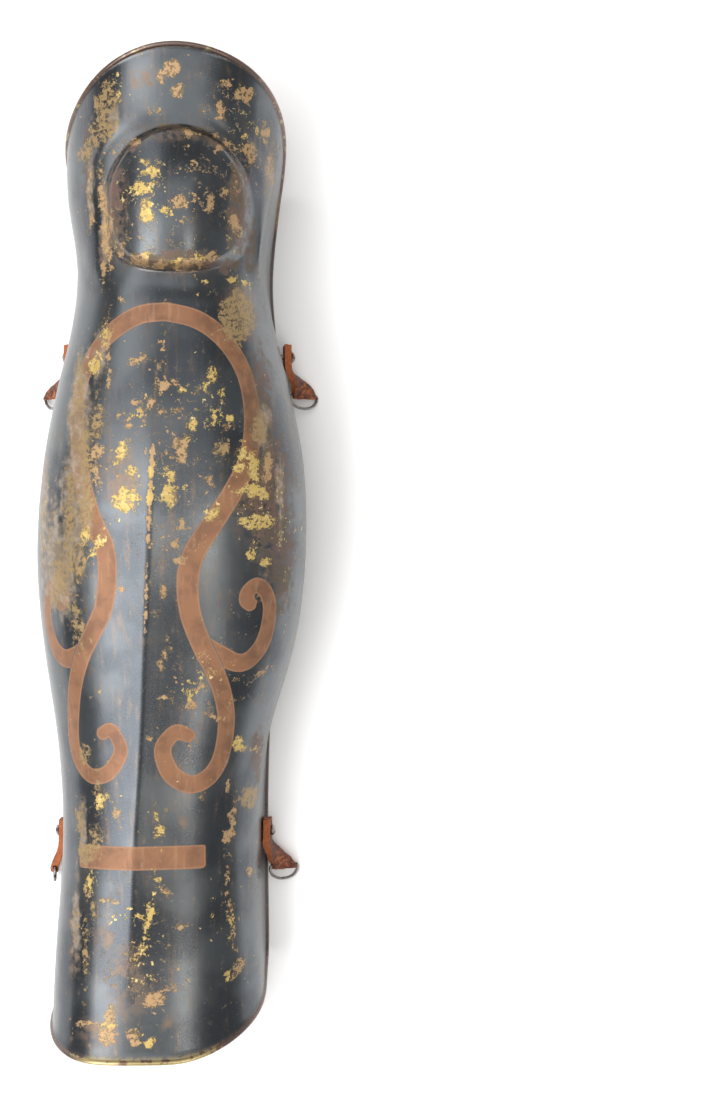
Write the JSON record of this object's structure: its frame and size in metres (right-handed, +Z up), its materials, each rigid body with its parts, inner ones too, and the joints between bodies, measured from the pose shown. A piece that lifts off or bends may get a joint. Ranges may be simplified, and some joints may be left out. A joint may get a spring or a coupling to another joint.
{
  "type": "greave",
  "caption": "Left leg greave of blackened sheet brass: keeled shin, raised knee boss, rolled edge, copper scrollwork, and leather strap tabs riveted beside the open back, holding steel D-rings",
  "frame": {"origin": "on the ground under the middle of the bounding box, with the greave lying on its two back edges", "axes": "+Z up, away from the leg at the shin; +Y along the shin towards the knee; +X to the right as seen from above"},
  "size_m": [0.1422, 0.487, 0.1019],
  "materials": {
    "patinated_brass": "black patina over coppered brass, with a bare copper scroll, worn through to brown copper and yellow brass",
    "strap_leather": "dry red-brown leather with frayed paler edges",
    "rivet_steel": "dull dark domed steel",
    "ring_steel": "dull grey steel wire"
  },
  "bodies": {
    "root": {"greave_shell": "patinated_brass", "strap_tab_upper_right": "strap_leather", "rivet_upper_right": "rivet_steel", "d_ring_upper_right": "ring_steel", "strap_tab_upper_left": "strap_leather", "rivet_upper_left": "rivet_steel", "d_ring_upper_left": "ring_steel", "strap_tab_lower_right": "strap_leather", "rivet_lower_right": "rivet_steel", "d_ring_lower_right": "ring_steel", "strap_tab_lower_left": "strap_leather", "rivet_lower_left": "rivet_steel", "d_ring_lower_left": "ring_steel"}
  },
  "joints": []
}
